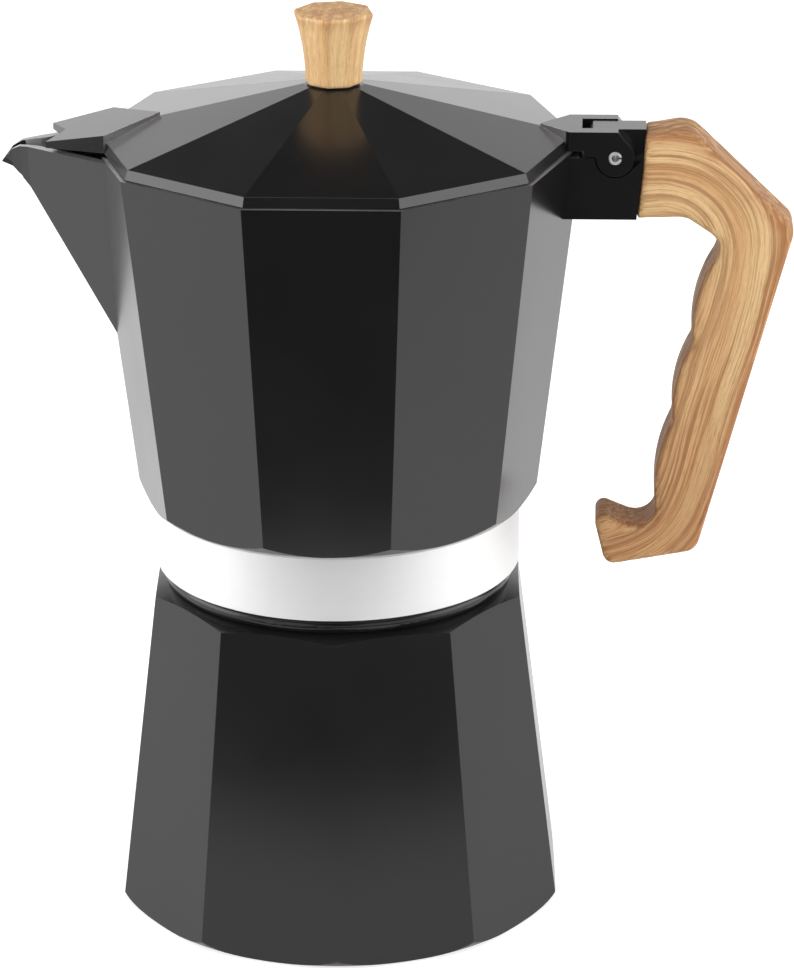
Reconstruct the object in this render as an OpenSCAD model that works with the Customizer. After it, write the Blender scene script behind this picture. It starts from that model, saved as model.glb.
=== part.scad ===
// Ten-sided stovetop moka pot: boiler, funnel, upper chamber with a hinged lid, and a moulded handle.
// Frame: the pot's axis is Z, its foot stands on z = 0, the handle points to +X and the spout to -X.

/* [Boiler] */
// Corner radius of the ten-sided boiler, measured at the foot plane
boiler_foot_r = 60; // [56:0.5:64]
// How much the corner radius shrinks per millimetre of height
boiler_taper = 0.124; // [0.11:0.002:0.135]
// Height of the facets' upper corners
shoulder_z = 85.7; // [83:0.1:88]
// Radius of the rolled edge round the foot
foot_round = 5.2; // [3:0.1:6.5]
// Wall thickness, at the middle of a facet
boiler_wall = 3.6; // [3:0.1:5]
// Angle from the handle to the boiler's nearest corner
boiler_turn = 20; // [0:1:35]

/* [Upper chamber] */
// Corner radius at the rim
rim_r = 62.5; // [60:0.5:65]
// Height of the rim above the foot
rim_z = 203.2; // [195:0.2:210]
// How much the corner radius grows per millimetre of height
upper_taper = 0.12; // [0.11:0.002:0.13]
// Wall thickness, at a corner
upper_wall = 2.7; // [2.2:0.1:3.2]

/* [Threaded collar] */
// Outside radius of the bare metal band
collar_r = 47; // [46:0.25:47.5]
// Height of the band's lower edge
collar_z = 91.5; // [91.5:0.1:92.5]
// Height of the band
collar_h = 17; // [16.5:0.1:17.5]

/* [Spout] */
// Distance from the axis to the tip of the beak
spout_reach = 84.5; // [82:0.5:87]
// Half of the angle between the spout's two sides
spout_half_angle = 35; // [32:1:37]
// Thickness of the spout's sides
spout_wall = 1.8; // [1.4:0.1:2.2]

/* [Lid] */
// Corner radius of the lid where its rim meets the slope
lid_r = 60.3; // [59:0.1:61]
// Height of the lid's upright rim
lid_rim_h = 2.4; // [1.8:0.1:3]
// Rise of the ridges per millimetre towards the axis
lid_slope = 0.237; // [0.2:0.001:0.26]
// Thickness of the lid's shell
lid_wall = 2.2; // [1.8:0.1:2.6]

/* [Hinge] */
// Distance from the axis to the hinge pin
hinge_x = 70.7; // [70:0.1:70.8]
// Height of the hinge pin
hinge_z = 201.7; // [201.5:0.1:202]
// Half of the width over the two ears
hinge_half_w = 8.2; // [7.5:0.1:8.5]
// Radius of the roll pin
pin_r = 1.65; // [1.3:0.05:1.9]

/* [Handle] */
// Thickness of the handle from face to face
handle_t = 16; // [14:0.5:18]
// Radius of its rounded edges
handle_edge_r = 2; // [1:0.25:2.25]

/* [Knob] */
// Height of the knob
knob_h = 18.4; // [17:0.1:21]
// Radius over the corners at the knob's widest place, near its top
knob_top_r = 10.3; // [9:0.1:11]
// Radius over the corners at the knob's foot
knob_foot_r = 7.4; // [6.5:0.1:8]
// Number of flat sides
knob_sides = 8; // [6:1:12]
// Angle from the handle to one of its corners
knob_turn = -10.5; // [-22:0.5:22]

/* [Funnel and filter] */
// Inside radius of the coffee basket
basket_r = 35.4; // [34:0.1:35.8]
// Depth of the coffee basket
basket_depth = 32; // [26:0.5:36]
// Radius of the holes in the sieve and the filter plate
hole_r = 0.9; // [0.6:0.1:1.1]

/* [Safety valve] */
// Height of the valve above the foot
valve_z = 58; // [45:1:66]

/* [Hidden] */

$fn = 96;
SIDES = 10;
STEP_A = 360 / SIDES;
APOTHEM = cos(STEP_A / 2);
OVER = 0.01;                 // how far a cut runs past the face that it leaves
GAP = 0.2;                   // clearance between pieces that are lifted apart

black = [0.07, 0.07, 0.075];
bare_metal = [0.80, 0.80, 0.81];
steel = [0.70, 0.71, 0.72];
brass = [0.78, 0.62, 0.32];
wood = [0.80, 0.62, 0.42];
rubber = [0.86, 0.85, 0.82];

// Boiler
shoulder_r = boiler_foot_r - boiler_taper * shoulder_z;
shoulder_rise = 0.35;                        // slope of the turned shoulder
bead_r = 2;                                  // rolled bead under the band
bead_x = 43.5;
bead_z = collar_z - bead_r - 0.3;
neck_r = 39.6;
neck_bore_r = basket_r + 1.4;
neck_top = 102.4;
boiler_floor = 4;
boiler_in_foot_r = boiler_foot_r * APOTHEM - boiler_wall;
boiler_in_top_z = shoulder_z - 4;
boiler_in_top_r = (boiler_foot_r - boiler_taper * boiler_in_top_z) * APOTHEM - boiler_wall;

// Safety valve, on the facet at the back, square to that facet
valve_turn = boiler_turn + STEP_A * 2.5;
valve_tilt = atan(boiler_taper * APOTHEM);
valve_face = (boiler_foot_r - boiler_taper * valve_z) * APOTHEM;
valve_shank_r = 5;

// Funnel, gasket and plate stand on the neck in this order
flange_z = neck_top + 0.1;
flange_t = 1;
sheet = 0.8;
gasket_z = flange_z + flange_t + 0.1;
gasket_t = 3.5;
plate_z = gasket_z + gasket_t + 0.1;
plate_t = 1;
sieve_z = flange_z + flange_t - basket_depth;
tube_r = 6;
tube_foot_z = 9;

// Upper chamber
collar_top = collar_z + collar_h;
chamber_floor = collar_top + 3;
spigot_r = 43;
spigot_z = 103.8;
recess_r = 39.3;
column_top = 172;

// Spout: a keel line that leans out, with two flat sides
spout_top_z = rim_z - 0.7;
keel_lean = 0.54;                            // how far the keel moves out per millimetre of height
keel_foot_z = 150;
keel_foot_x = 55.4;

// Lid
lid_z = rim_z + GAP;
lid_rim_top = lid_z + lid_rim_h;
seat_r = 7.6;                                // flat seat under the knob
seat_z = lid_rim_top + (lid_r - seat_r) * lid_slope;
cover_tilt = 0.197;                          // fall of the spout cover per millimetre outwards
cover_x = 44;                                // where the cover leaves the ridge
cover_z = lid_rim_top + (lid_r - cover_x) * lid_slope + 0.9;
plate_top = hinge_z + 6.7;
slot_half_w = 4.3;
lug_half_w = 4;
ear_r = 4.8;

// Handle and its joint with the bracket: a line that leans outwards as it rises
bracket_z = 185.7;
joint_foot_x = 76.2;
joint_lean = 0.1;
joint_gap = 0.1;
function joint_x(z) = joint_foot_x + (z - bracket_z) * joint_lean;
tongue = [13, 7.6, 14];
tongue_z = 189.5;
screw_x = 84.5;

// Knob
washer_t = 0.45;
knob_z = seat_z + washer_t;

// Corner radius of each ten-sided body at height z
function boiler_r(z) = boiler_foot_r - boiler_taper * z;
function upper_r(z) = rim_r - upper_taper * (rim_z - z);

// A ten-sided frustum from z1 to z2
module ten_sided(z1, r1, z2, r2) {
    translate([0, 0, z1]) cylinder(h = z2 - z1, r1 = r1, r2 = r2, $fn = SIDES);
}

// A plain tube or disc
module ring(z, h, r, bore) {
    translate([0, 0, z]) difference() {
        cylinder(h = h, r = r);
        translate([0, 0, -OVER]) cylinder(h = h + 2 * OVER, r = bore);
    }
}

// Extrudes an outline in X and Z sideways, from y = -w to y = w
module side_extrude(w) {
    translate([0, w, 0]) rotate([90, 0, 0]) linear_extrude(height = 2 * w) children();
}

// Points of an arc from p up to, but not including, q. It bulges by s to the left of the way from p to q.
function arc_points(p, q, s, n) =
    let (c = norm(q - p), r = (c * c / 4 + s * s) / (2 * s), u = (q - p) / c, v = [-u[1], u[0]],
         m = (p + q) / 2 + v * (s - r), a = asin(c / 2 / r))
    [for (i = [0 : n - 1]) let (t = -a + 2 * a * i / n) m + r * (v * cos(t) + u * sin(t))];

// A corner at p rounded with radius r, between its neighbours a and b
function fillet_points(a, p, b, r, n) =
    let (u = (a - p) / norm(a - p), v = (b - p) / norm(b - p), half = acos(u * v) / 2,
         w = (u + v) / norm(u + v), c = p + w * r / sin(half),
         s = p + u * r / tan(half), e = p + v * r / tan(half))
    [for (i = [0 : n]) let (k = i / n, d = (s - c) * (1 - k) + (e - c) * k) c + d * r / norm(d)];

// Skins a stack of closed rings that have the same number of points
module loft(rings) {
    n = len(rings[0]);
    m = len(rings);
    caps = [[for (i = [0 : n - 1]) n - 1 - i], [for (i = [0 : n - 1]) (m - 1) * n + i]];
    sides = [for (k = [0 : m - 2], i = [0 : n - 1])
        let (j = (i + 1) % n, a = k * n, b = (k + 1) * n)
        each [[a + i, a + j, b + j], [a + i, b + j, b + i]]];
    polyhedron(points = [for (ring = rings) each ring], faces = concat(caps, sides));
}

// Holes on rings about the axis: one at the middle and six more on each ring outwards
module perforations(z, h, pitch, count) {
    translate([0, 0, z]) for (k = [0 : count]) for (i = [0 : max(6 * k, 1) - 1])
        rotate([0, 0, k == 0 ? 0 : i * 60 / k]) translate([k * pitch, 0, 0])
            cylinder(h = h, r = hole_r, $fn = 24);
}

// ---- Boiler ----

module boiler_profile() {
    polygon(concat(
        [[0, 0]],
        [for (a = [-90 : 10 : 0]) [boiler_foot_r - foot_round + foot_round * cos(a),
                                   foot_round + foot_round * sin(a)]],
        [[boiler_foot_r, shoulder_z + (shoulder_r - boiler_foot_r) * shoulder_rise],
         [bead_x, shoulder_z + (shoulder_r - bead_x) * shoulder_rise],
         [bead_x, bead_z + bead_r - 0.2], [0, bead_z + bead_r - 0.2]]));
}

module boiler_cavity() {
    rotate_extrude() polygon([
        [0, boiler_floor], [boiler_in_foot_r - 4, boiler_floor], [boiler_in_foot_r - 1.2, boiler_floor + 1.2],
        [boiler_in_foot_r, boiler_floor + 4], [boiler_in_top_r, boiler_in_top_z],
        [neck_bore_r, boiler_in_top_z + 5], [neck_bore_r, neck_top + 1], [0, neck_top + 1]]);
}

module at_valve() {
    rotate([0, 0, valve_turn]) translate([valve_face, 0, valve_z]) rotate([0, 90 - valve_tilt, 0]) children();
}

module boiler() {
    color(black) difference() {
        union() {
            intersection() {
                rotate([0, 0, boiler_turn]) ten_sided(0, boiler_r(0), 92, boiler_r(92));
                rotate_extrude() boiler_profile();
            }
            rotate_extrude() translate([bead_x, bead_z]) circle(r = bead_r, $fn = 32);
            translate([0, 0, shoulder_z - 2]) cylinder(h = neck_top - shoulder_z + 2, r = neck_r);
        }
        boiler_cavity();
        at_valve() translate([0, 0, -12]) cylinder(h = 14, r = valve_shank_r + 0.05, $fn = 48);
    }
}

module valve_body() {
    color(brass) at_valve() difference() {
        union() {
            translate([0, 0, -7]) cylinder(h = 8.5, r = valve_shank_r, $fn = 48);
            translate([0, 0, 1]) cylinder(h = 4, r = 8, $fn = 6);
            translate([0, 0, 4]) cylinder(h = 7, r = 5.4, $fn = 48);
        }
        translate([0, 0, -7 - OVER]) cylinder(h = 5, r = 1.7, $fn = 32);
        translate([0, 0, -4]) cylinder(h = 16, r = 3.3, $fn = 32);
    }
}

module valve_washer() {
    color(rubber) at_valve() ring(0, 1, 7.6, valve_shank_r + 0.05);
}

module valve_pin() {
    color(steel) at_valve() {
        translate([0, 0, -3.9]) cylinder(h = 1.5, r = 2.9, $fn = 32);
        translate([0, 0, -2.5]) cylinder(h = 17, r = 1.3, $fn = 32);
    }
}

// A round wire wound into a compression spring
module valve_spring() {
    turns = 6;
    wire_r = 0.35;
    coil_r = 2.35;
    rise = 8.4;
    per_turn = 14;
    last = turns * per_turn;
    color(steel) at_valve() loft([for (k = [0 : last])
        let (a = 360 * k / per_turn, z = -1.2 + rise * k / last)
        [for (i = [0 : 5]) let (t = 60 * i, r = coil_r + wire_r * cos(t))
            [r * cos(a), r * sin(a), z + wire_r * sin(t)]]]);
}

module valve_cap() {
    color(brass) at_valve() {
        ring(8, 3, 3.25, 1.6);
        ring(11, 1.2, 4.6, 1.6);
    }
}

// ---- Funnel, gasket and filter plate ----

module funnel_basket() {
    cone_z = sieve_z - 1.2;
    tube_z = cone_z - 9;
    color(bare_metal) rotate_extrude() polygon([
        [basket_r, flange_z + flange_t], [neck_r - 0.4, flange_z + flange_t], [neck_r - 0.4, flange_z],
        [basket_r + sheet, flange_z], [basket_r + sheet, cone_z], [tube_r + sheet + 0.1, tube_z],
        [tube_r + sheet + 0.1, tube_z - 4], [tube_r + 0.05, tube_z - 4], [tube_r + 0.05, tube_z + 0.8],
        [basket_r, cone_z + 0.8]]);
}

module funnel_tube() {
    color(bare_metal) ring(tube_foot_z, sieve_z - 9.6 - tube_foot_z, tube_r, tube_r - sheet);
}

module funnel_sieve() {
    color(bare_metal) difference() {
        translate([0, 0, sieve_z]) cylinder(h = sheet, r = basket_r - 0.05);
        perforations(sieve_z - 1, 3, 6, 5);
    }
}

module gasket() {
    color(rubber) ring(gasket_z, gasket_t, recess_r - 0.5, 31);
}

module filter_plate() {
    color(bare_metal) difference() {
        translate([0, 0, plate_z]) cylinder(h = plate_t, r = recess_r - 0.6);
        perforations(plate_z - 1, 3, 5.4, 5);
    }
}

// ---- Upper chamber ----

module chamber_profile() {
    chamfer_r = 47.8;
    chamfer_rise = 0.89;
    polygon([[0, spigot_z], [spigot_r, spigot_z], [spigot_r, collar_top + 0.1], [chamfer_r, collar_top + 0.1],
             [rim_r + 20, collar_top + 0.1 + (rim_r + 20 - chamfer_r) * chamfer_rise],
             [rim_r + 20, rim_z], [0, rim_z]]);
}

// One cross-section of the spout at distance x: keel at height z, half-width w at the top
function spout_section(x, z, w, top) = [[-x, -w, top], [-x, 0, z], [-x, w, top]];
function keel_z(x) = keel_foot_z + (x - keel_foot_x) / keel_lean;
function spout_w(x, tip) = max((tip - x) * tan(spout_half_angle), 0.3);

module spout_solid() {
    tip = keel_foot_x + (spout_top_z - keel_foot_z) * keel_lean;
    inner = keel_foot_x - 4;
    bend = keel_foot_x + (keel_z(tip) - 12 - keel_foot_z) * keel_lean;
    loft([
        spout_section(inner, keel_z(inner), spout_w(inner, tip), spout_top_z),
        spout_section(bend, keel_z(bend), spout_w(bend, tip), spout_top_z),
        spout_section(bend + 2.2, keel_z(bend) + 3, spout_w(bend + 2.2, tip) + 0.4, spout_top_z - 0.2),
        spout_section(bend + 4.4, keel_z(bend) + 4.8, spout_w(bend + 4.4, tip) + 0.6, spout_top_z - 1.4),
        spout_section(spout_reach, keel_z(bend) + 6.2, 0.35, spout_top_z - 5.2)]);
}

// The channel inside the spout, open to the chamber and at the top
module spout_channel() {
    tip = keel_foot_x + (spout_top_z - keel_foot_z) * keel_lean - spout_wall / sin(spout_half_angle);
    inner = keel_foot_x - 6;
    top = rim_z + 2;
    bend = spout_reach - 7;
    lift = spout_wall * 2.2;
    loft([
        spout_section(inner, keel_z(inner) + lift, spout_w(inner, tip), top),
        spout_section(bend - 3, keel_z(bend - 3) + lift, spout_w(bend - 3, tip), top),
        spout_section(bend + 2, keel_z(bend - 3) + lift + 4, 2.4, top),
        spout_section(spout_reach + 2, keel_z(bend - 3) + lift + 5.6, 1.2, top)]);
}

module bracket() {
    side_extrude(hinge_half_w) polygon([
        [56, bracket_z], [joint_x(bracket_z), bracket_z], [joint_x(hinge_z), hinge_z], [56, hinge_z]]);
    side_extrude(lug_half_w) polygon([
        [56, bracket_z + 4], [joint_x(bracket_z + 4), bracket_z + 4], [joint_x(plate_top - 0.3), plate_top - 0.3],
        [hinge_x - 5.6, plate_top - 0.3], [hinge_x - 6.4, plate_top - 1.1], [hinge_x - 6.4, hinge_z],
        [56, hinge_z]]);
    translate([joint_foot_x - 1, -tongue[1] / 2, tongue_z]) cube(tongue + [1, 0, 0]);
}

// Room for the lid's ears to turn, on both sides of the lug
module ear_pockets() {
    for (s = [-1, 1]) translate([0, s * (lug_half_w + 5.1), 0]) side_extrude(5) {
        translate([hinge_x, hinge_z]) circle(r = ear_r + 0.35, $fn = 64);
        translate([hinge_x - 9.5, hinge_z + 0.5]) square([20, 10]);
        translate([hinge_x, hinge_z]) polygon([[0, 0], [1.5, -5], [7, -0.6], [10, -0.6], [10, 5], [0, 5]]);
    }
}

module upper_chamber() {
    color(black) difference() {
        union() {
            intersection() {
                ten_sided(spigot_z - 1, upper_r(spigot_z - 1), rim_z, rim_r);
                rotate_extrude() chamber_profile();
            }
            spout_solid();
            difference() {
                bracket();
                ear_pockets();
            }
        }
        ten_sided(chamber_floor, upper_r(chamber_floor) - upper_wall, rim_z + 1, upper_r(rim_z + 1) - upper_wall);
        difference() {
            spout_channel();
            translate([0, 0, spigot_z]) cylinder(h = chamber_floor - spigot_z, r = 60);
        }
        translate([0, 0, spigot_z - 1]) cylinder(h = plate_z + plate_t + 0.2 - spigot_z + 1, r = recess_r);
        translate([0, 0, plate_z + plate_t]) cylinder(h = 1.8, r1 = 32, r2 = 12);
        translate([0, 0, spigot_z]) cylinder(h = 10, r = 6.5);
        translate([hinge_x, 20, hinge_z]) rotate([90, 0, 0]) cylinder(h = 40, r = pin_r, $fn = 32);
        translate([screw_x, 0, bracket_z]) cylinder(h = 30, r = 1.9, $fn = 32);
    }
}

module threaded_collar() {
    edge = 0.5;
    color(bare_metal) rotate_extrude() polygon([
        [neck_r + 0.4, collar_z], [collar_r - edge, collar_z], [collar_r, collar_z + edge],
        [collar_r, collar_top], [spigot_r + 0.05, collar_top], [spigot_r + 0.05, spigot_z - 0.1],
        [neck_r + 0.4, spigot_z - 0.1]]);
}

module column() {
    outlet_z = column_top - 12;
    color(bare_metal) difference() {
        union() {
            translate([0, 0, plate_z + plate_t + 1.6]) cylinder(h = 4, r = 6.5);
            translate([0, 0, chamber_floor + 0.05]) cylinder(h = column_top - chamber_floor, r1 = 9.5, r2 = 6.5);
        }
        translate([0, 0, spigot_z]) cylinder(h = 100, r = 4.2, $fn = 48);
        for (a = [90, 270]) rotate([0, 0, a]) translate([0, -1.5, outlet_z]) cube([12, 3, 9]);
    }
}

module column_cap() {
    color(bare_metal) difference() {
        rotate_extrude() polygon(concat(
            [[0, column_top - 3], [4.15, column_top - 3], [4.15, column_top + 0.15], [7.2, column_top + 0.15]],
            [for (a = [0 : 15 : 90]) [7.2 * cos(a), column_top + 1 + 4 * sin(a)]]));
        translate([0, 0, column_top - 4]) cylinder(h = 5, r = 3, $fn = 48);
    }
}

module hinge_pin() {
    length = 2 * hinge_half_w + 0.4;
    color(steel) translate([hinge_x, length / 2, hinge_z]) rotate([90, 0, 0]) difference() {
        cylinder(h = length, r = pin_r, $fn = 32);
        translate([0, 0, -1]) cylinder(h = length + 2, r = pin_r - 0.7, $fn = 24);
        translate([0, -0.25, -1]) cube([pin_r + 1, 0.5, length + 2]);
    }
}

// ---- Handle ----

// The handle's outline in X and Z, clockwise from the foot of the joint.
// Three finger swells run down the inside, and a hooked toe ends it.
handle_neck_foot = [joint_foot_x + joint_gap, bracket_z];
handle_neck_top = [joint_x(207) + joint_gap, 207];
handle_crown = [89.6, 209];
handle_elbow = [116.3, 183.2];
handle_heel = [92.8, 96.2];
handle_toe_foot = [69.4, 91.9];
handle_toe_top = [65.7, 107.2];
handle_hook = [79.5, 101.6];
finger_ends = [[82.1, 107], [86.1, 131.5], [90.8, 152.4], [96.5, 175.5]];
finger_swell = [1.9, 1.7, 2];
handle_web = [97.4, 180];
handle_throat = [88.6, 186];

function handle_outline() = concat(
    [handle_neck_foot, handle_neck_top],
    fillet_points(handle_neck_top, handle_crown, handle_elbow, 7, 6),
    fillet_points(handle_crown, handle_elbow, handle_heel, 4, 6),
    fillet_points(handle_elbow, handle_heel, handle_toe_foot, 4, 6),
    fillet_points(handle_heel, handle_toe_foot, handle_toe_top, 2.7, 5),
    fillet_points(handle_toe_foot, handle_toe_top, handle_hook, 2.2, 6),
    fillet_points(handle_toe_top, handle_hook, finger_ends[0], 5, 6),
    [for (i = [0 : 2]) each arc_points(finger_ends[i], finger_ends[i + 1], finger_swell[i], 8)],
    [finger_ends[3]],
    fillet_points(finger_ends[3], handle_web, handle_throat, 4, 5),
    fillet_points(handle_web, handle_throat, handle_neck_foot, 5, 4));

// The outline moved inwards by d, and laid in the plane y
function inset_ring(p, d, y) =
    let (n = len(p))
    [for (i = [0 : n - 1])
        let (a = p[(i + n - 1) % n], b = p[(i + 1) % n],
             u = (p[i] - a) / max(norm(p[i] - a), 0.001), v = (b - p[i]) / max(norm(b - p[i]), 0.001),
             m = (u + v) / max(norm(u + v), 0.001))
        [p[i][0] + m[1] * d, y, p[i][1] - m[0] * d]];

module handle() {
    outline = handle_outline();
    steps = 4;
    edge = [for (i = [0 : steps]) 90 * i / steps];
    near = [for (a = edge) [handle_edge_r * (1 - sin(a)), -handle_t / 2 + handle_edge_r * (1 - cos(a))]];
    far = [for (i = [0 : steps]) [near[steps - i][0], -near[steps - i][1]]];
    clear = 0.15;
    color(wood) difference() {
        // resize() leaves the size alone, and splits the hooked end faces into triangles
        resize([0, 0, 0]) loft([for (k = concat(near, far)) inset_ring(outline, k[0], k[1])]);
        translate([joint_foot_x - 1, -tongue[1] / 2 - clear, tongue_z - clear])
            cube(tongue + [1 + clear, 2 * clear, 2 * clear]);
        translate([screw_x, 0, bracket_z - 5]) cylinder(h = 10, r = 2.1, $fn = 32);
        translate([screw_x, 0, bracket_z - 5]) cylinder(h = 6.6, r = 3.7, $fn = 32);
    }
}

module handle_screw() {
    head_z = bracket_z - 0.4;
    color(steel) difference() {
        union() {
            translate([screw_x, 0, head_z]) cylinder(h = 2, r = 3.4, $fn = 32);
            translate([screw_x, 0, head_z + 2]) cylinder(h = 13, r = 1.9, $fn = 32);
        }
        for (a = [0, 90]) translate([screw_x, 0, head_z]) rotate([0, 0, a]) cube([4, 0.8, 2], center = true);
    }
}

// ---- Lid ----

module spout_cover() {
    half_back = 13.2;
    half_tip = 8.6;
    shoulder_x = 57.1;
    tooth_x = 72.2;
    notch_x = 68;
    intersection() {
        linear_extrude(height = cover_z + 1) polygon([
            [-cover_x, 0], [-shoulder_x, half_back], [-tooth_x, half_tip], [-notch_x, 0],
            [-tooth_x, -half_tip], [-shoulder_x, -half_back]]);
        side_extrude(half_back + 1) polygon([
            [-cover_x + 8, lid_z], [-tooth_x - 1, lid_z],
            [-tooth_x - 1, cover_z - (tooth_x + 1 - cover_x) * cover_tilt],
            [-cover_x + 8, cover_z + 8 * cover_tilt]]);
    }
}

// Flat plate that carries the two ears, pointed where it leaves the ridge
module hinge_plate() {
    tip_x = 51.8;
    step_x = 59.2;
    end_x = hinge_x - 7.9;
    translate([0, 0, lid_z + 0.1]) linear_extrude(height = plate_top - lid_z - 0.1) polygon([
        [tip_x, 0], [step_x, -hinge_half_w], [end_x, -hinge_half_w], [end_x, hinge_half_w], [step_x, hinge_half_w]]);
    side_extrude(hinge_half_w) {
        polygon([[end_x, hinge_z + 0.9], [end_x, plate_top], [hinge_x + 0.6, plate_top],
                 [hinge_x + 4.75, hinge_z + 1.1], [hinge_x + 4.5, hinge_z], [hinge_x, hinge_z - 1]]);
        translate([hinge_x, hinge_z]) circle(r = ear_r, $fn = 64);
    }
}

module lid() {
    lip_z = lid_z - 2.5;
    lip_r = upper_r(lip_z) - upper_wall - 0.6;
    under_z = lid_rim_top - 0.6;
    slot_x = hinge_x - 8.3;
    color(black) difference() {
        union() {
            ten_sided(lid_z, lid_r + 1, lid_rim_top, lid_r);
            ten_sided(lid_rim_top, lid_r, seat_z, seat_r);
            intersection() {
                ten_sided(lip_z, lip_r, lid_z + 1, lip_r);
                translate([-keel_foot_x + 13, -lid_r, lip_z]) cube([2 * lid_r, 2 * lid_r, 10]);
            }
            spout_cover();
            hinge_plate();
        }
        ten_sided(lip_z - 1, lip_r - 2, under_z, lip_r - 2);
        ten_sided(under_z - OVER, lip_r - 2, seat_z - lid_wall, seat_r);
        translate([slot_x, -slot_half_w, hinge_z - 10]) cube([30, 2 * slot_half_w, 20]);
        translate([lid_r + 1, -slot_half_w, hinge_z - 10]) cube([5, 2 * slot_half_w, 13.9]);
        translate([hinge_x, 20, hinge_z]) rotate([90, 0, 0]) cylinder(h = 40, r = pin_r + 0.06, $fn = 32);
        translate([0, 0, seat_z - 8]) cylinder(h = 10, r = 2.05, $fn = 32);
    }
}

module knob_washer() {
    color(steel) ring(seat_z, washer_t, 5.6, 2.05);
}

// One of the knob's flat-sided rings
function knob_ring(z, r) =
    [for (i = [0 : knob_sides - 1]) let (a = knob_turn + i * 360 / knob_sides) [r * cos(a), r * sin(a), z]];

module knob() {
    flare = knob_top_r - knob_foot_r;
    rows = 6;
    color(wood) difference() {
        loft(concat(
            [knob_ring(knob_z, knob_foot_r - 0.3), knob_ring(knob_z + 0.5, knob_foot_r)],
            [for (i = [1 : rows]) let (k = i / rows)
                knob_ring(knob_z + 0.5 + (knob_h - 1.1) * k, knob_foot_r + flare * pow(k, 1.9))],
            [knob_ring(knob_z + knob_h, knob_top_r - 0.5)]));
        translate([0, 0, knob_z - OVER]) cylinder(h = 12, r = 2.05, $fn = 32);
    }
}

module knob_screw() {
    head_z = seat_z - lid_wall - 2.2;
    color(steel) difference() {
        union() {
            translate([0, 0, head_z]) cylinder(h = 2.15, r = 3.8, $fn = 32);
            translate([0, 0, head_z + 2]) cylinder(h = 14, r = 2, $fn = 32);
        }
        for (a = [0, 90]) rotate([0, 0, a]) translate([0, 0, head_z]) cube([4.4, 0.8, 2], center = true);
    }
}

boiler();
valve_body();
valve_washer();
valve_pin();
valve_spring();
valve_cap();
funnel_basket();
funnel_tube();
funnel_sieve();
gasket();
filter_plate();
upper_chamber();
threaded_collar();
column();
column_cap();
hinge_pin();
handle();
handle_screw();
lid();
knob_washer();
knob();
knob_screw();
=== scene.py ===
import math

import bmesh
import bpy
import numpy as np
from mathutils import Matrix, Vector


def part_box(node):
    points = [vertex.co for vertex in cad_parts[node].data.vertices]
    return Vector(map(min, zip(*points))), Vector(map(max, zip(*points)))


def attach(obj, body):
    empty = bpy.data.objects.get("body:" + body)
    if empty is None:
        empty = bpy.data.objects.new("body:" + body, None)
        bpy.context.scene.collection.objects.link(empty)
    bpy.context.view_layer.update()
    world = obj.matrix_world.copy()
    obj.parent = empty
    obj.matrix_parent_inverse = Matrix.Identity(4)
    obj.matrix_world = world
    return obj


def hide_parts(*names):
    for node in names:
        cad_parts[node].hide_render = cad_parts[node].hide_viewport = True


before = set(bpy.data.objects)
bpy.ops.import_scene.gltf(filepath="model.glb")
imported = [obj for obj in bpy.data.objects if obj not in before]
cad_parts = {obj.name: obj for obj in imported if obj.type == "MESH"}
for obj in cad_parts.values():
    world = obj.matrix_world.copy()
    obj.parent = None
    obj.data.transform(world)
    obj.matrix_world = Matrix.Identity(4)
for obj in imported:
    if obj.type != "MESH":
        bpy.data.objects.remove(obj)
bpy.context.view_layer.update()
scene = bpy.context.scene
scene.view_settings.view_transform = "Standard"
mm = 0.001


# Shader maths: a Field is a number or vector that varies over the surface
class Field:
    def __init__(self, finish, socket):
        self.finish, self.socket = finish, socket

    def maths(self, operation, first, second):
        return self.finish.node("ShaderNodeMath", {"operation": operation}, {0: first, 1: second})

    def __add__(self, other):
        return self.maths("ADD", self, other)

    def __radd__(self, other):
        return self.maths("ADD", other, self)

    def __sub__(self, other):
        return self.maths("SUBTRACT", self, other)

    def __rsub__(self, other):
        return self.maths("SUBTRACT", other, self)

    def __mul__(self, other):
        return self.maths("MULTIPLY", self, other)

    def __rmul__(self, other):
        return self.maths("MULTIPLY", other, self)

    def __truediv__(self, other):
        return self.maths("DIVIDE", self, other)

    def above(self, low, high):  # 0 under low, 1 over high, smooth between
        span = {"Value": self, "From Min": low, "From Max": high}
        return self.finish.node("ShaderNodeMapRange", {"interpolation_type": "SMOOTHSTEP"}, span)

    def either(self, other):
        return self.maths("MAXIMUM", self, other)


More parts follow.
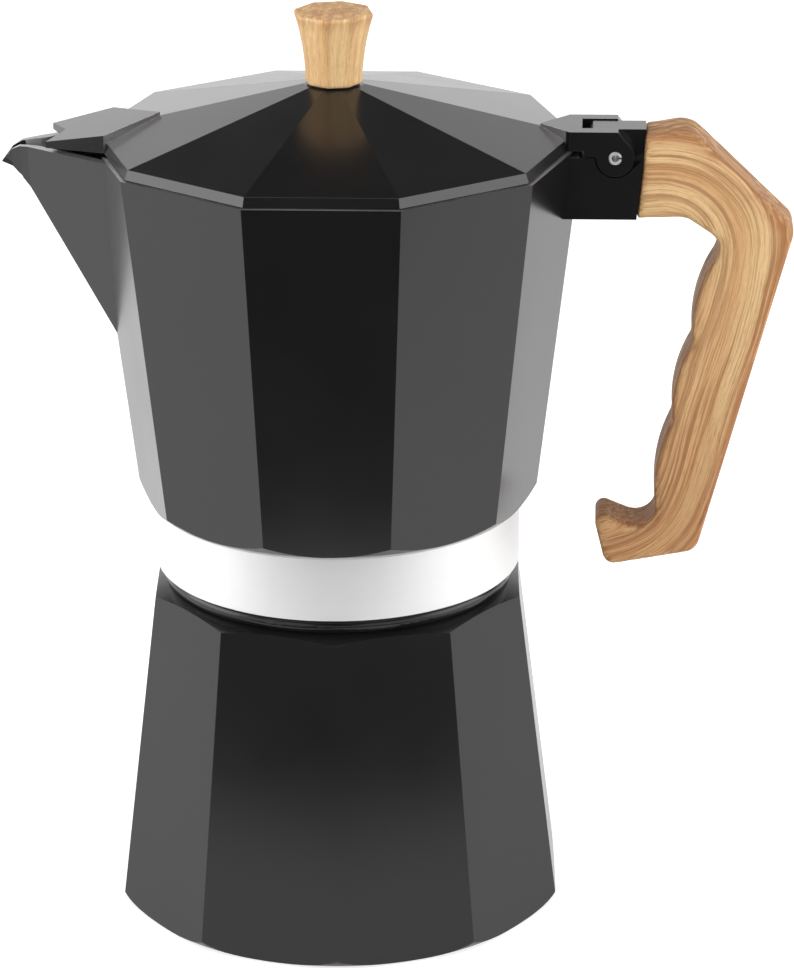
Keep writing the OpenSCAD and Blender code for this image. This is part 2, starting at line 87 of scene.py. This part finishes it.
class Finish:
    def __init__(self, name, **surface):
        self.material = bpy.data.materials.new(name)
        self.material.use_nodes = True
        self.tree = self.material.node_tree
        self.tree.nodes.clear()
        output = self.tree.nodes.new("ShaderNodeOutputMaterial")
        self.shader = self.tree.nodes.new("ShaderNodeBsdfPrincipled")
        self.tree.links.new(self.shader.outputs[0], output.inputs["Surface"])
        self.set(**surface)

    def feed(self, socket, value):
        if isinstance(value, Field):
            self.tree.links.new(value.socket, socket)
        else:
            socket.default_value = value

    def node(self, kind, settings=None, sockets=None, output=0):
        made = self.tree.nodes.new(kind)
        for name, value in (settings or {}).items():
            setattr(made, name, value)
        for name, value in (sockets or {}).items():
            self.feed(made.inputs[name], value)
        return Field(self, made.outputs[output])

    def set(self, **surface):  # base_color=... sets the Base Color socket
        for name, value in surface.items():
            self.feed(self.shader.inputs[name.replace("_", " ").title().replace("Ior", "IOR")], value)
        return self

    def place(self):
        return self.node("ShaderNodeTexCoord", output="Object")

    def facing(self):
        return self.node("ShaderNodeTexCoord", output="Normal")

    def attribute(self, name):
        return self.node("ShaderNodeAttribute", {"attribute_name": name}, output="Vector")

    def part(self, vector, axis):
        return self.node("ShaderNodeSeparateXYZ", sockets={0: vector}, output="XYZ".index(axis))

    def stretched(self, vector, scale):
        return self.node("ShaderNodeVectorMath", {"operation": "MULTIPLY"}, {0: vector, 1: scale})

    def noise(self, vector, scale=1.0, detail=3.0, roughness=0.5):
        look = {"Vector": vector, "Scale": scale, "Detail": detail, "Roughness": roughness}
        return self.node("ShaderNodeTexNoise", sockets=look)

    def blend(self, factor, first, second):
        colours = [(*colour, 1) if isinstance(colour, tuple) else colour for colour in (first, second)]
        return self.node("ShaderNodeMix", {"data_type": "RGBA"}, {0: factor, 6: colours[0], 7: colours[1]}, 2)

    def bump(self, height, distance, strength=1.0):
        look = {"Strength": strength, "Distance": distance, "Height": height}
        return self.node("ShaderNodeBump", sockets=look)

    # Distance from the pot's axis
    def radius(self):
        flat = self.stretched(self.place(), (1, 1, 0))
        return self.node("ShaderNodeVectorMath", {"operation": "LENGTH"}, {0: flat}, "Value")

    # How much the surface looks outwards from the pot's axis: 1 outside, -1 inside
    def outwards(self):
        sockets = {0: self.stretched(self.place(), (1, 1, 0)), 1: self.facing()}
        along = self.node("ShaderNodeVectorMath", {"operation": "DOT_PRODUCT"}, sockets, "Value")
        return along / (self.radius() + 0.1 * mm)


# Black lacquer over cast aluminium. The mask that comes in says where the metal is bare.
paint = {"colour": (0.005, 0.005, 0.0055), "dull": (0.008, 0.008, 0.0085), "roughness": 0.19,
         "cloudRoughness": 0.06, "cloudsPerMetre": 38.0, "peel": 0.9 * mm, "relief": 0.004 * mm}
castMetal = {"colour": (0.62, 0.62, 0.63), "streak": (0.44, 0.44, 0.45), "roughness": 0.36,
             "streakRoughness": 0.1, "streaksPerMetre": (60.0, 60.0, 900.0)}
gloss = {"jug": 0.52, "boiler": 0.36, "lid": 0.52}


def lacquered(name, bareMask, shine):
    finish = Finish(name, specular_ior_level=shine)
    place = finish.place()
    peel = finish.noise(place, 1 / paint["peel"], 2.0)
    cloud = finish.noise(place, paint["cloudsPerMetre"], 4.0)
    scratch = finish.noise(finish.stretched(place, castMetal["streaksPerMetre"]), 1.0, 3.0)
    bare = bareMask(finish)
    metal = finish.blend(scratch, castMetal["streak"], castMetal["colour"])
    paintRoughness = paint["roughness"] + cloud * paint["cloudRoughness"]
    metalRoughness = scratch * castMetal["streakRoughness"] + castMetal["roughness"]
    finish.set(
        base_color=finish.blend(bare, finish.blend(cloud, paint["colour"], paint["dull"]), metal),
        metallic=bare,
        roughness=paintRoughness * (1 - bare) + metalRoughness * bare,
        normal=finish.bump(peel * (1 - bare) + scratch * bare, paint["relief"]),
    )
    return finish.material


# Where lacquer and bare metal meet. Each pair is the stretch over which one fades into the other.
bareZones = {
    "boilerFloor": (5 * mm, 8 * mm), "neckDepth": (11.6 * mm, 11.2 * mm),
    "jugFloor": (125 * mm, 130 * mm), "jugUnder": (109 * mm, 110 * mm), "jugRim": 99.4 * mm,
    "rimDepth": (7 * mm, 6 * mm), "rimEnd": (61 * mm, 62 * mm), "bracket": (63 * mm, 64 * mm),
    "lidUnder": (59 * mm, 60 * mm), "lidInside": (58 * mm, 59 * mm),
}


def insideOf(finish):
    return (0 - finish.outwards()).above(0.25, 0.45)


def bareInBoiler(finish):
    height, up = finish.part(finish.place(), "Z"), finish.part(finish.facing(), "Z")
    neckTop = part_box("boiler")[1].z
    floor = up.above(0.6, 0.8) * (1 - height.above(*bareZones["boilerFloor"]))
    neck = height.above(*[neckTop - depth for depth in bareZones["neckDepth"]])
    return insideOf(finish).either(floor).either(neck)


def bareInJug(finish):
    place, up = finish.place(), finish.part(finish.facing(), "Z")
    height, away = finish.part(place, "Z"), finish.part(place, "X")
    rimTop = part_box("upper_chamber")[0].z + bareZones["jugRim"]
    inside = insideOf(finish) * (1 - away.above(*bareZones["bracket"]))
    floor = up.above(0.5, 0.7) * (1 - height.above(*bareZones["jugFloor"]))
    under = (1 - height.above(*bareZones["jugUnder"])) * (0 - up).above(0.6, 0.8)
    rim = up.above(0.2, 0.4) * height.above(*[rimTop - depth for depth in bareZones["rimDepth"]])
    rim = rim * (1 - away.above(*bareZones["rimEnd"]))
    return inside.either(floor).either(under).either(rim)


def bareInLid(finish):
    up, radius = finish.part(finish.facing(), "Z"), finish.radius()
    under = (0 - up).above(0.3, 0.5) * (1 - radius.above(*bareZones["lidUnder"]))
    inside = insideOf(finish) * (1 - radius.above(*bareZones["lidInside"]))
    return under.either(inside)


# Turned and brushed metal: fine lines run round the axis, so they are packed closely in height
metals = {
    "band_turned": {"colour": (0.82, 0.82, 0.82), "shade": (0.69, 0.69, 0.69), "roughness": 0.50,
                    "linesPerMetre": 5200.0},
    "pin_steel": {"colour": (0.92, 0.92, 0.92), "shade": (0.80, 0.80, 0.80), "roughness": 0.34,
                  "linesPerMetre": 3000.0},
    "dark_steel": {"colour": (0.06, 0.06, 0.06), "shade": (0.03, 0.03, 0.03), "roughness": 0.40,
                   "linesPerMetre": 3000.0},
    "sheet_aluminium": {"colour": (0.78, 0.78, 0.79), "shade": (0.60, 0.60, 0.61), "roughness": 0.27,
                        "linesPerMetre": 2400.0},
    "steel": {"colour": (0.70, 0.70, 0.71), "shade": (0.50, 0.50, 0.51), "roughness": 0.22,
              "linesPerMetre": 3000.0},
    "brass": {"colour": (0.80, 0.60, 0.27), "shade": (0.58, 0.40, 0.15), "roughness": 0.24,
              "linesPerMetre": 3000.0},
}


def turnedMetal(name):
    look = metals[name]
    finish = Finish(name, metallic=1.0)
    place = finish.place()
    line = finish.noise(finish.stretched(place, (40.0, 40.0, look["linesPerMetre"])), 1.0, 4.0, 0.7)
    cloud = finish.noise(place, 45.0, 2.0)
    finish.set(
        base_color=finish.blend(line * 0.7 + cloud * 0.3, look["shade"], look["colour"]),
        roughness=look["roughness"] + line * 0.16 + cloud * 0.05,
        normal=finish.bump(line, 0.02 * mm),
    )
    return finish.material


silicone = {"shade": (0.62, 0.60, 0.55), "colour": (0.74, 0.72, 0.67), "grainsPerMetre": 2600.0}


def sealRubber(name):
    finish = Finish(name, specular_ior_level=0.35)
    grain = finish.noise(finish.place(), silicone["grainsPerMetre"], 3.0)
    finish.set(
        base_color=finish.blend(grain, silicone["shade"], silicone["colour"]),
        roughness=0.55 + grain * 0.12,
        normal=finish.bump(grain, 0.03 * mm),
    )
    return finish.material


# Wood-effect moulding. The grain attribute holds the way along the grain, the way across it, and the depth.
timber = {"light": (0.545, 0.318, 0.146), "pale": (0.65, 0.445, 0.225), "brown": (0.27, 0.122, 0.050),
          "dark": (0.12, 0.046, 0.018), "edge": (0.27, 0.105, 0.042)}


# How closely each pattern is packed: along the grain, across it, and into the depth
grainScale = {
    "drift": (16.0, 40.0, 30.0), "broad": (9.0, 230.0, 160.0), "streak": (15.0, 1050.0, 700.0),
    "fine": (50.0, 2600.0, 1900.0), "fibre": (420.0, 4200.0, 1800.0), "fleck": (240.0, 1900.0, 1500.0),
}
grainDrift = 6 * mm


def woodPrint(name, streaks, lift):
    finish = Finish(name, specular_ior_level=0.14)
    light, pale = [tuple(part * lift for part in timber[shade]) for shade in ("light", "pale")]
    grain, tone = finish.attribute("grain"), finish.attribute("tone")
    # The tone's Y part is painted shade: it makes the print browner and darker towards the handle's toe
    edge, lowShade = finish.part(tone, "X"), finish.part(tone, "Y")
    drift = finish.noise(finish.stretched(grain, grainScale["drift"]), 1.0, 2.0)
    across = finish.part(grain, "Y") + (drift - 0.5) * grainDrift
    along, depth = finish.part(grain, "X"), finish.part(grain, "Z")
    flow = finish.node("ShaderNodeCombineXYZ", sockets={0: along, 1: across, 2: depth})
    broad = finish.noise(finish.stretched(flow, grainScale["broad"]), 1.0, 2.0, 0.45)
    streak = finish.noise(finish.stretched(flow, grainScale["streak"]), 1.0, 3.0, 0.6)
    fine = finish.noise(finish.stretched(flow, grainScale["fine"]), 1.0, 2.0, 0.6)
    fibre = finish.noise(finish.stretched(flow, grainScale["fibre"]), 1.0, 3.0, 0.6)
    fleck = finish.noise(finish.stretched(flow, grainScale["fleck"]), 1.0, 2.0)
    layers = (  # where each colour shows, from the ground up
        (lowShade * (broad.above(0.3, 0.6) * 0.3 + 0.18), "brown"),
        (streak.above(0.48, 0.64) * (lowShade * 0.3 + 0.65) * streaks, "brown"),
        (fine.above(0.46, 0.68) * (lowShade * 0.25 + 0.5) * streaks, "brown"),
        (edge * (streak.above(0.38, 0.56) * 0.7 + 0.2), "edge"),
        (fleck.above(0.57, 0.72) * (edge * 0.25 + lowShade * 0.2 + 0.15), "dark"),
        (fibre.above(0.42, 0.75) * 0.32, "brown"),
    )
    colour = finish.blend(broad.above(0.35, 0.65), light, pale)
    for share, shade in layers:
        colour = finish.blend(share, colour, timber[shade])
    finish.set(
        base_color=colour,
        roughness=0.50 + fibre * 0.14,
        normal=finish.bump(fibre * 0.6 + streak * 0.4, 0.03 * mm),
    )
    return finish.material


jugPaint = lacquered("jug_lacquer", bareInJug, gloss["jug"])
boilerPaint = lacquered("boiler_lacquer", bareInBoiler, gloss["boiler"])
lidPaint = lacquered("lid_lacquer", bareInLid, gloss["lid"])
turned = {name: turnedMetal(name) for name in metals}
rubber = sealRubber("seal_rubber")
timberFinish = woodPrint("wood_print", 1.0, 0.97)
knobTimber = woodPrint("knob_wood_print", 0.3, 1.22)
print("finishes made")


# CAD nodes keep their shape. Small rounded edges catch the light as on a casting.
joinWithin = 0.003 * mm


def dress(node, material, edge=0.0):
    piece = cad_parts[node]
    piece.data.materials.clear()
    piece.data.materials.append(material)
    weld = piece.modifiers.new("weld", "WELD")
    weld.merge_threshold = joinWithin
    if edge:
        flat = piece.modifiers.new("flat", "DECIMATE")
        flat.decimate_type = "DISSOLVE"
        flat.angle_limit = math.radians(0.4)
        soft = piece.modifiers.new("soft", "BEVEL")
        soft.width = edge
        soft.segments = 2
        soft.limit_method = "ANGLE"
        soft.angle_limit = math.radians(24)
    even = piece.modifiers.new("even", "WEIGHTED_NORMAL")
    even.keep_sharp = True


dress("boiler", boilerPaint, 0.35 * mm)
dress("upper_chamber", jugPaint, 0.3 * mm)
dress("lid", lidPaint, 0.25 * mm)
dress("threaded_collar", turned["band_turned"])
for node in ("column", "column_cap", "funnel_basket", "funnel_tube", "funnel_sieve", "filter_plate"):
    dress(node, turned["sheet_aluminium"])
for node in ("valve_pin", "valve_spring", "handle_screw", "knob_screw"):
    dress(node, turned["steel"])
dress("hinge_pin", turned["pin_steel"], 0.15 * mm)
dress("knob_washer", turned["dark_steel"])
for node in ("valve_body", "valve_cap"):
    dress(node, turned["brass"])
for node in ("gasket", "valve_washer"):
    dress(node, rubber)
print("CAD nodes dressed")


# A moulded copy of a node: its edges and corners are rounded by an even net of small faces.
# Places for which firm is true keep their sharp edges.
def moulded(node, name, cell, passes, firm=None):
    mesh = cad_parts[node].data.copy()
    source = bpy.data.objects.new(name, mesh)
    scene.collection.objects.link(source)
    shape = bmesh.new()
    shape.from_mesh(mesh)
    bmesh.ops.remove_doubles(shape, verts=shape.verts, dist=joinWithin)
    shape.to_mesh(mesh)
    shape.free()
    net = source.modifiers.new("net", "REMESH")
    net.mode = "VOXEL"
    net.voxel_size = cell
    evened = bpy.data.meshes.new_from_object(source.evaluated_get(bpy.context.evaluated_depsgraph_get()))
    source.modifiers.clear()
    source.data = evened
    shape = bmesh.new()
    shape.from_mesh(evened)
    soft = [vert for vert in shape.verts if firm is None or not firm(vert.co)]
    for turn in range(passes):
        bmesh.ops.smooth_vert(
            shape, verts=soft, factor=0.5, use_axis_x=True, use_axis_y=True, use_axis_z=True)
    for face in shape.faces:
        face.smooth = True
    shape.to_mesh(evened)
    shape.free()
    evened.name = name
    evened.materials.clear()
    return source


def vectorTo(piece, name, *parts):
    attribute = piece.data.attributes.new(name, "FLOAT_VECTOR", "POINT")
    attribute.data.foreach_set("vector", np.stack(parts, 1).astype(np.float32).ravel())


# The woodPrint finish reads the way along and across the grain and the depth, then edge and painted shade
def grainTo(piece, alongGrain, acrossGrain, depth, edge, lowShade):
    vectorTo(piece, "grain", alongGrain, acrossGrain, depth)
    vectorTo(piece, "tone", edge, lowShade, lowShade)


def pointsOf(piece):
    flat = np.empty(len(piece.data.vertices) * 3)
    piece.data.vertices.foreach_get("co", flat)
    return flat.reshape(-1, 3)


def smoothStep(value, low, high):
    share = np.clip((value - low) / (high - low), 0, 1)
    return share * share * (3 - 2 * share)


# The handle's grain leaves the joint level, bends down into the grip and turns in at the toe.
# Places are millimetres outwards from the handle's innermost point, and up from the foot of the pot.
handleLook = {
    "cell": 0.62 * mm, "passes": 4, "jointWidth": 1.6 * mm,
    "joint": (9.8, 185.7), "jointLean": 0.1,
    "spine": [(4, 200), (24, 201), (39, 187), (37, 166), (29, 138), (24, 118), (17, 101), (-2, 94)],
    "rim": [(10, 208), (23.4, 209), (49.9, 183.2), (26.4, 96.2)],
    "rimFade": (1.2 * mm, 5.7 * mm), "rimShare": 0.7, "sideFade": (0.3, 0.8), "sideShare": 0.8,
    # The next span of heights is where painted shade darkens the grip, fully at its low end
    "lowShadeFade": (90 * mm, 175 * mm),
}


# Points every half millimetre or so along a curve that rounds the corners of a line
def rounded(corners, times=5):
    for turn in range(times):
        near, far = corners[:-1] * 0.75 + corners[1:] * 0.25, corners[:-1] * 0.25 + corners[1:] * 0.75
        corners = np.concatenate([corners[:1], np.stack([near, far], 1).reshape(-1, 2), corners[-1:]])
    return corners


def toLine(places, start, end):
    run = end - start
    part = np.clip(((places - start) @ run) / (run @ run), 0, 1)[:, None]
    return np.linalg.norm(places - start - part * run, axis=1)


# How far each place lies along the spine and across it
def alongSpine(flat, spine):
    step = np.gradient(spine, axis=0)
    step /= np.linalg.norm(step, axis=1)[:, None]
    length = np.concatenate([[0], np.cumsum(np.linalg.norm(np.diff(spine, axis=0), axis=1))])
    nearest = np.argmin(((flat[:, None, :] - spine[None, :, :]) ** 2).sum(2), 1)
    offset = flat - spine[nearest]
    along = length[nearest] + (offset * step[nearest]).sum(1)
    across = offset[:, 1] * step[nearest][:, 0] - offset[:, 0] * step[nearest][:, 1]
    return along, across


def handleGrip(look):
    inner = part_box("handle")[0].x
    out, foot = [length * mm for length in look["joint"]]

    def byJoint(place):
        return place.x < inner + out + (place.z - foot) * look["jointLean"] + look["jointWidth"]

    piece = moulded("handle", "handle_grip", look["cell"], look["passes"], byJoint)
    spine, rim = [np.array([(inner + x * mm, z * mm) for x, z in look[line]]) for line in ("spine", "rim")]
    place = pointsOf(piece)
    flat = place[:, [0, 2]]
    along, across = alongSpine(flat, rounded(spine))
    outerEdge = np.min([toLine(flat, start, end) for start, end in zip(rim[:-1], rim[1:])], axis=0)
    facing = np.array([vert.normal.y for vert in piece.data.vertices])
    edge = look["rimShare"] * (1 - smoothStep(outerEdge, *look["rimFade"]))
    edge = np.maximum(edge, look["sideShare"] * (1 - smoothStep(np.abs(facing), *look["sideFade"])))
    # Painted shade: the grip's print is darker towards the toe
    lowShade = 1 - smoothStep(place[:, 2], *look["lowShadeFade"])
    grainTo(piece, along, across, place[:, 1], edge, lowShade)
    piece.data.materials.append(timberFinish)
    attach(piece, "top")
    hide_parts("handle")


handleGrip(handleLook)
print("handle moulded")

# The knob's grain stands up and spreads with the flare. Its top is browner.
knobLook = {"cell": 0.30 * mm, "passes": 2, "spread": 0.25, "rings": 0.1, "topFade": 5 * mm, "topShare": 0.45}


def knobGrip(look):
    piece = moulded("knob", "knob_grip", look["cell"], look["passes"])
    place = pointsOf(piece)
    low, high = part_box("knob")
    radius = np.hypot(place[:, 0], place[:, 1])
    lean = 1 - look["spread"] * (place[:, 2] - low.z) / (high.z - low.z)
    edge = smoothStep(place[:, 2], high.z - look["topFade"], high.z) * look["topShare"]
    depth = place[:, 1] * lean + radius * look["rings"]
    grainTo(piece, place[:, 2], place[:, 0] * lean, depth, edge, 0 * edge)
    piece.data.materials.append(knobTimber)
    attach(piece, "lid")
    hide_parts("knob")


knobGrip(knobLook)
print("knob moulded")

# A single-start ridge wound up the boiler's neck
threadLook = {"neckRadius": 39.6 * mm, "belowTop": 1.2 * mm, "pitch": 3 * mm, "turns": 3, "steps": 72,
              "ridge": 0.28 * mm, "root": 0.1 * mm, "width": 1.1 * mm}


def neckThread(look):
    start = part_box("boiler")[1].z - look["belowTop"] - look["pitch"] * look["turns"]
    shape = bmesh.new()
    outline = [(-look["root"], -look["width"]), (look["ridge"], -look["width"] / 4),
               (look["ridge"], look["width"] / 4), (-look["root"], look["width"])]
    corners = [shape.verts.new((look["neckRadius"] + out, 0, start + up)) for out, up in outline]
    section = shape.faces.new(corners)
    bmesh.ops.spin(
        shape, geom=[section], cent=(0, 0, 0), axis=(0, 0, 1), angle=2 * math.pi * look["turns"],
        dvec=(0, 0, look["pitch"] / look["steps"]), steps=look["steps"] * look["turns"], use_duplicate=False)
    bmesh.ops.recalc_face_normals(shape, faces=shape.faces)
    mesh = bpy.data.meshes.new("neck_thread")
    shape.to_mesh(mesh)
    shape.free()
    piece = bpy.data.objects.new("neck_thread", mesh)
    scene.collection.objects.link(piece)
    mesh.materials.append(turned["sheet_aluminium"])
    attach(piece, "boiler")


neckThread(threadLook)
print("neck thread wound")


# Studio: a pale floor, a sky that is pale near the horizon and dark above, and three soft lights
studio = {
    "floorSize": 6.0, "floorColour": (0.60, 0.60, 0.60), "floorGlow": 0.76, "cardColour": (0.01, 0.01, 0.01),
    "horizon": 1.45, "zenith": 0.05, "paleBelow": 18, "darkAbove": 33,
}


def softLight(name, place, aim, size, power):
    lamp = bpy.data.lights.new(name, "AREA")
    lamp.shape = "RECTANGLE"
    lamp.size, lamp.size_y = size
    lamp.energy = power
    piece = bpy.data.objects.new(name, lamp)
    scene.collection.objects.link(piece)
    piece.location = place
    piece.rotation_euler = (Vector(aim) - Vector(place)).to_track_quat("-Z", "Y").to_euler()


def sheetOf(name, corners, colour, glow=0.0):
    shape = bmesh.new()
    shape.faces.new([shape.verts.new(corner) for corner in corners])
    mesh = bpy.data.meshes.new(name)
    shape.to_mesh(mesh)
    shape.free()
    piece = bpy.data.objects.new(name, mesh)
    scene.collection.objects.link(piece)
    finish = Finish(name)
    finish.set(base_color=(*colour, 1), roughness=0.6, specular_ior_level=0.0)
    finish.set(emission_color=(1, 1, 1, 1), emission_strength=glow)
    mesh.materials.append(finish.material)
    return piece


half = studio["floorSize"] / 2
floorCorners = [(-half, -half, 0), (half, -half, 0), (half, half, 0), (-half, half, 0)]
sheetOf("floor", floorCorners, studio["floorColour"], studio["floorGlow"])

# Two dark cards stand in front. They are seen only as reflections in the gloss.
floorCard = [(-0.9, -2.2, 0.002), (0.9, -2.2, 0.002), (0.45, -0.2, 0.002), (-0.45, -0.2, 0.002)]
frontCard = [(-0.45, -1.7, 0.3), (0.45, -1.7, 0.3), (0.45, -1.7, 1.9), (-0.45, -1.7, 1.9)]
for name, corners in (("floor_card", floorCard), ("front_card", frontCard)):
    card = sheetOf(name, corners, studio["cardColour"])
    card.visible_camera = card.visible_diffuse = card.visible_shadow = False

world = bpy.data.worlds.new("sky")
world.use_nodes = True
tree = world.node_tree
background = tree.nodes["Background"]
way = tree.nodes.new("ShaderNodeTexCoord")
parts = tree.nodes.new("ShaderNodeSeparateXYZ")
fade = tree.nodes.new("ShaderNodeMapRange")
fade.interpolation_type = "SMOOTHSTEP"
fade.inputs["From Min"].default_value = math.sin(math.radians(studio["paleBelow"]))
fade.inputs["From Max"].default_value = math.sin(math.radians(studio["darkAbove"]))
fade.inputs["To Min"].default_value = studio["horizon"]
fade.inputs["To Max"].default_value = studio["zenith"]
background.inputs["Color"].default_value = (1, 1, 1, 1)
tree.links.new(way.outputs["Generated"], parts.inputs[0])
tree.links.new(parts.outputs["Z"], fade.inputs["Value"])
tree.links.new(fade.outputs["Result"], background.inputs["Strength"])
scene.world = world
softLight("top_light", (0, -0.6, 1.5), (0, 0, 0.1), (1.2, 1.2), 14)
softLight("left_light", (-1.2, -0.1, 0.5), (0, 0, 0.1), (1.0, 1.0), 9)
softLight("right_light", (1.2, -0.1, 0.5), (0, 0, 0.1), (1.0, 1.0), 7)

# Camera: a long lens, twenty degrees above the pot's middle
view = {"azimuth": 3.35, "elevation": 20.05, "distance": 1.2, "aim": (0, 0, 0.120), "lens": 172.7,
        "pan": 0.73, "tilt": 0.41, "roll": 0.54}


def placeCamera(look):
    data = bpy.data.cameras.new("camera")
    camera = bpy.data.objects.new("camera", data)
    scene.collection.objects.link(camera)
    scene.camera = camera
    data.lens = look["lens"]
    data.sensor_fit = "VERTICAL"
    data.sensor_width = data.sensor_height = 36
    turn, rise = math.radians(look["azimuth"]), math.radians(look["elevation"])
    back = Vector((math.sin(turn) * math.cos(rise), -math.cos(turn) * math.cos(rise), math.sin(rise)))
    right = Vector((math.cos(turn), math.sin(turn), 0))
    level = Matrix((right, back.cross(right), back))
    for axis, turned in (("Y", "pan"), ("X", "tilt"), ("Z", "roll")):
        level = Matrix.Rotation(math.radians(look[turned]), 3, axis) @ level
    place = Matrix.Translation(Vector(look["aim"]) + back * look["distance"])
    camera.matrix_world = place @ level.transposed().to_4x4()


placeCamera(view)
print("studio and camera placed")
